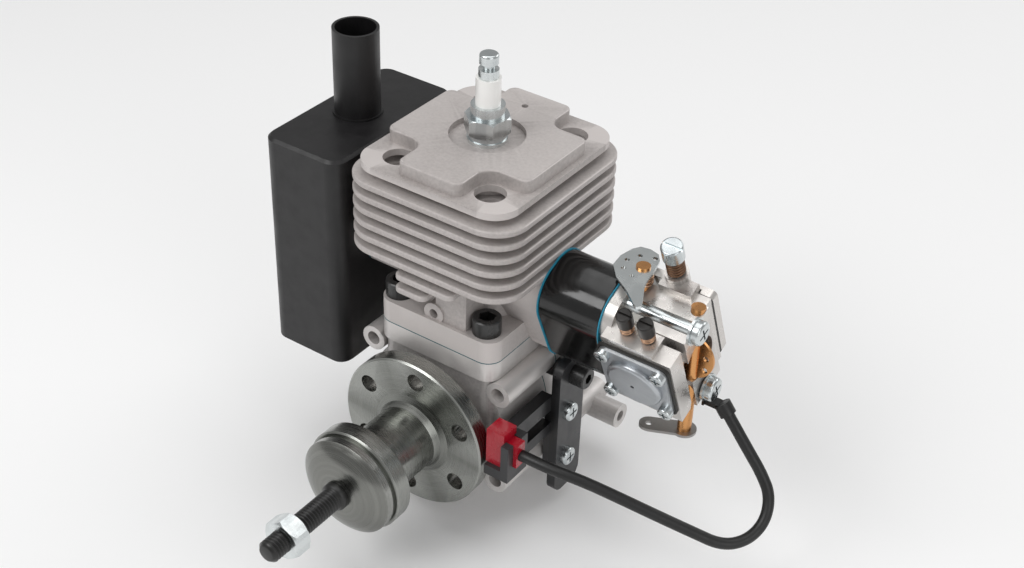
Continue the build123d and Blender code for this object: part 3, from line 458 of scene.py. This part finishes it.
def coil(foot, axis, radius, wire, turns, length):
    """A compression spring: a round wire on a helix with closed ends. Sizes are in millimetres."""
    radius, wire, length = radius * MM, wire * MM, length * MM
    along = Vector(axis).normalized()
    side = along.orthogonal().normalized()
    other = along.cross(side)
    steps = int(turns * COIL_STEPS)
    points = []
    for step in range(steps + 1):
        turn = turns * step / steps
        closed = min(turn, turns - turn, COIL_CLOSED) / COIL_CLOSED
        rise = min(max((turn - COIL_CLOSED / 2) / (turns - COIL_CLOSED), 0.0), 1.0)
        angle = 2 * pi * turn
        out = side * cos(angle) + other * sin(angle)
        middle = foot + out * radius + along * (wire + rise * (length - 2 * wire))
        slope = along * (length / turns / COIL_LEAD) * closed
        ahead = (other * cos(angle) - side * sin(angle)) * radius + slope
        normal = ahead.normalized().cross(out).normalized()
        for k in range(COIL_AROUND):
            a = 2 * pi * k / COIL_AROUND
            points.append(middle + (out * cos(a) + normal * sin(a)) * wire)
    return points, lathe_rows(steps + 1, COIL_AROUND)


def carb_springs(wire_dark, wire_copper):
    """Springs of the throttle shaft, the two needles and the idle screw."""
    up = carb_place(0, 0, 1) - carb_place(0, 0, 0)
    coils = [coil(place(*THROTTLE_SPRING[0]), (0, 0, 1), *THROTTLE_SPRING[1:])]
    coils += [coil(carb_place(*foot), up, *sizes) for foot, *sizes in NEEDLE_SPRINGS]
    joined, faces = [], []
    for points, quads in coils:
        faces += [tuple(i + len(joined) for i in face) for face in quads]
        joined += points
    mesh_piece("small_springs", joined, faces, wire_copper, "engine", "carb_springs")
    points, quads = coil(carb_place(*IDLE_SPRING[0]), up, *IDLE_SPRING[1:])
    mesh_piece("idle_spring", points, quads, wire_dark, "engine", "carb_springs")


# ---------------------------------------------------------------- stage
FLOOR_Z = -0.041


def make_stage():
    bpy.ops.mesh.primitive_plane_add(size=8, location=(0, 0, FLOOR_Z))
    floor = bpy.context.object
    floor.name = "floor"
    look = Look("floor_pale", (0.93, 0.93, 0.93), 0.0, 0.75)
    look.bump(look.noise(60, 2.0), 0.0001, 0.05)
    floor.data.materials.append(look.material)
    world = bpy.data.worlds.new("studio")
    world.use_nodes = True
    world.node_tree.nodes["Background"].inputs["Color"].default_value = (1, 1, 1, 1)
    world.node_tree.nodes["Background"].inputs["Strength"].default_value = 0.42
    bpy.context.scene.world = world
    bpy.context.scene.view_settings.view_transform = "Standard"


def area_light(name, at, target, size, watts):
    data = bpy.data.lights.new(name, "AREA")
    data.shape = "RECTANGLE"
    data.size, data.size_y = size
    data.energy = watts
    light = bpy.data.objects.new(name, data)
    bpy.context.scene.collection.objects.link(light)
    light.location = at
    light.rotation_euler = (Vector(target) - Vector(at)).to_track_quat("-Z", "Y").to_euler()


def make_lights():
    middle = (0.01, -0.04, 0.04)
    area_light("key", (-0.35, -0.75, 0.85), middle, (0.7, 0.5), 5.0)
    area_light("fill", (0.9, -0.5, 0.45), middle, (0.6, 0.8), 2.2)
    area_light("top", (0.0, 0.1, 1.1), middle, (0.9, 0.9), 3.6)
    area_light("rim", (0.35, 0.9, 0.6), middle, (0.8, 0.5), 2.0)


make_camera()
make_cable()
paint_nodes()
blacken_bracket_bolt()
threaded_stud(bpy.data.materials["black_oxide"])
carb_springs(plated_metal("spring_dark", (0.20, 0.115, 0.07), 0.33, (0.13, 0.07, 0.045)),
             plated_metal("spring_copper", (0.52, 0.33, 0.22), 0.30, (0.38, 0.22, 0.13)))
make_stage()
make_lights()
